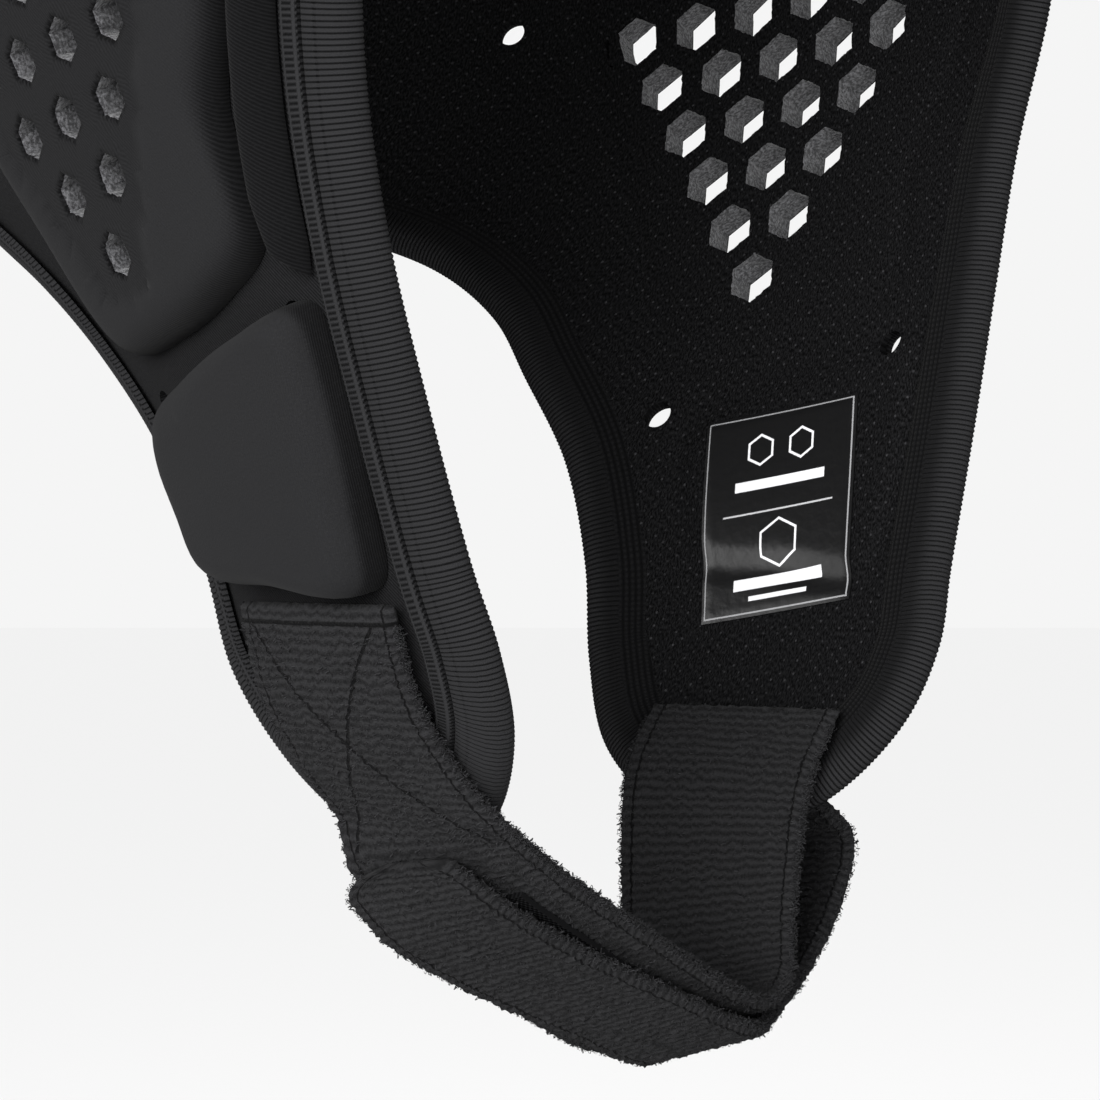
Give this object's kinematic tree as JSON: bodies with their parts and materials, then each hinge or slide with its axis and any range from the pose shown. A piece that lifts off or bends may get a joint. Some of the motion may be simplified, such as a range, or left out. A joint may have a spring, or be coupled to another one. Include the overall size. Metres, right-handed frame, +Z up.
{
  "type": "rugby scrum cap",
  "caption": "Padded cloth sports cap with separate raised pads, pierced ear pads, bound edge, mesh lining and a closed terry chin strap.",
  "frame": {"origin": "the highest point of the lining's inner face, where the cap sits on the head's crown; the mount head_seat is there and the whole cap hangs below it", "axes": "+Z up, +X to the wearer's left, -Y to the wearer's front (the face opening is on -Y, the nape on +Y)"},
  "size_m": [0.1796, 0.2191, 0.3195],
  "materials": {
    "stretch_cloth": "matte knitted stretch cloth, near black",
    "mesh_lining": "fine mesh with small dots, near black",
    "binding_tape": "cross-ribbed tape with cover stitching, near black",
    "pad_cloth": "stretch cloth over soft foam, fine ribs, matte charcoal",
    "terry_strap": "looped terry band with cross ribs, matte charcoal",
    "hook_tape": "woven hook tape, slightly shiny, near black",
    "label_film": null
  },
  "bodies": {
    "root": {"shell": "stretch_cloth", "lining": "mesh_lining", "edge_binding": "binding_tape", "ear_pad_left": "pad_cloth", "ear_pad_right": "pad_cloth", "jaw_pad_left": "pad_cloth", "jaw_pad_right": "pad_cloth", "front_pad_left": "pad_cloth", "front_pad_right": "pad_cloth", "crown_top_pad": "pad_cloth", "forehead_pad": "pad_cloth", "crown_front_pad": "pad_cloth", "crown_side_pad_left": "pad_cloth", "crown_side_pad_right": "pad_cloth", "crown_rear_pad_left": "pad_cloth", "crown_rear_pad_right": "pad_cloth", "crown_back_pad": "pad_cloth", "temple_pad_left": "pad_cloth", "temple_pad_right": "pad_cloth", "side_pad_left": "pad_cloth", "side_pad_right": "pad_cloth", "rear_pad_left": "pad_cloth", "rear_pad_right": "pad_cloth", "rear_middle_pad": "pad_cloth", "back_pad_left": "pad_cloth", "back_pad_right": "pad_cloth", "nape_pad": "pad_cloth", "right_strap": "terry_strap", "left_strap": "terry_strap", "hook_tape": "hook_tape", "label": "label_film"}
  },
  "joints": []
}
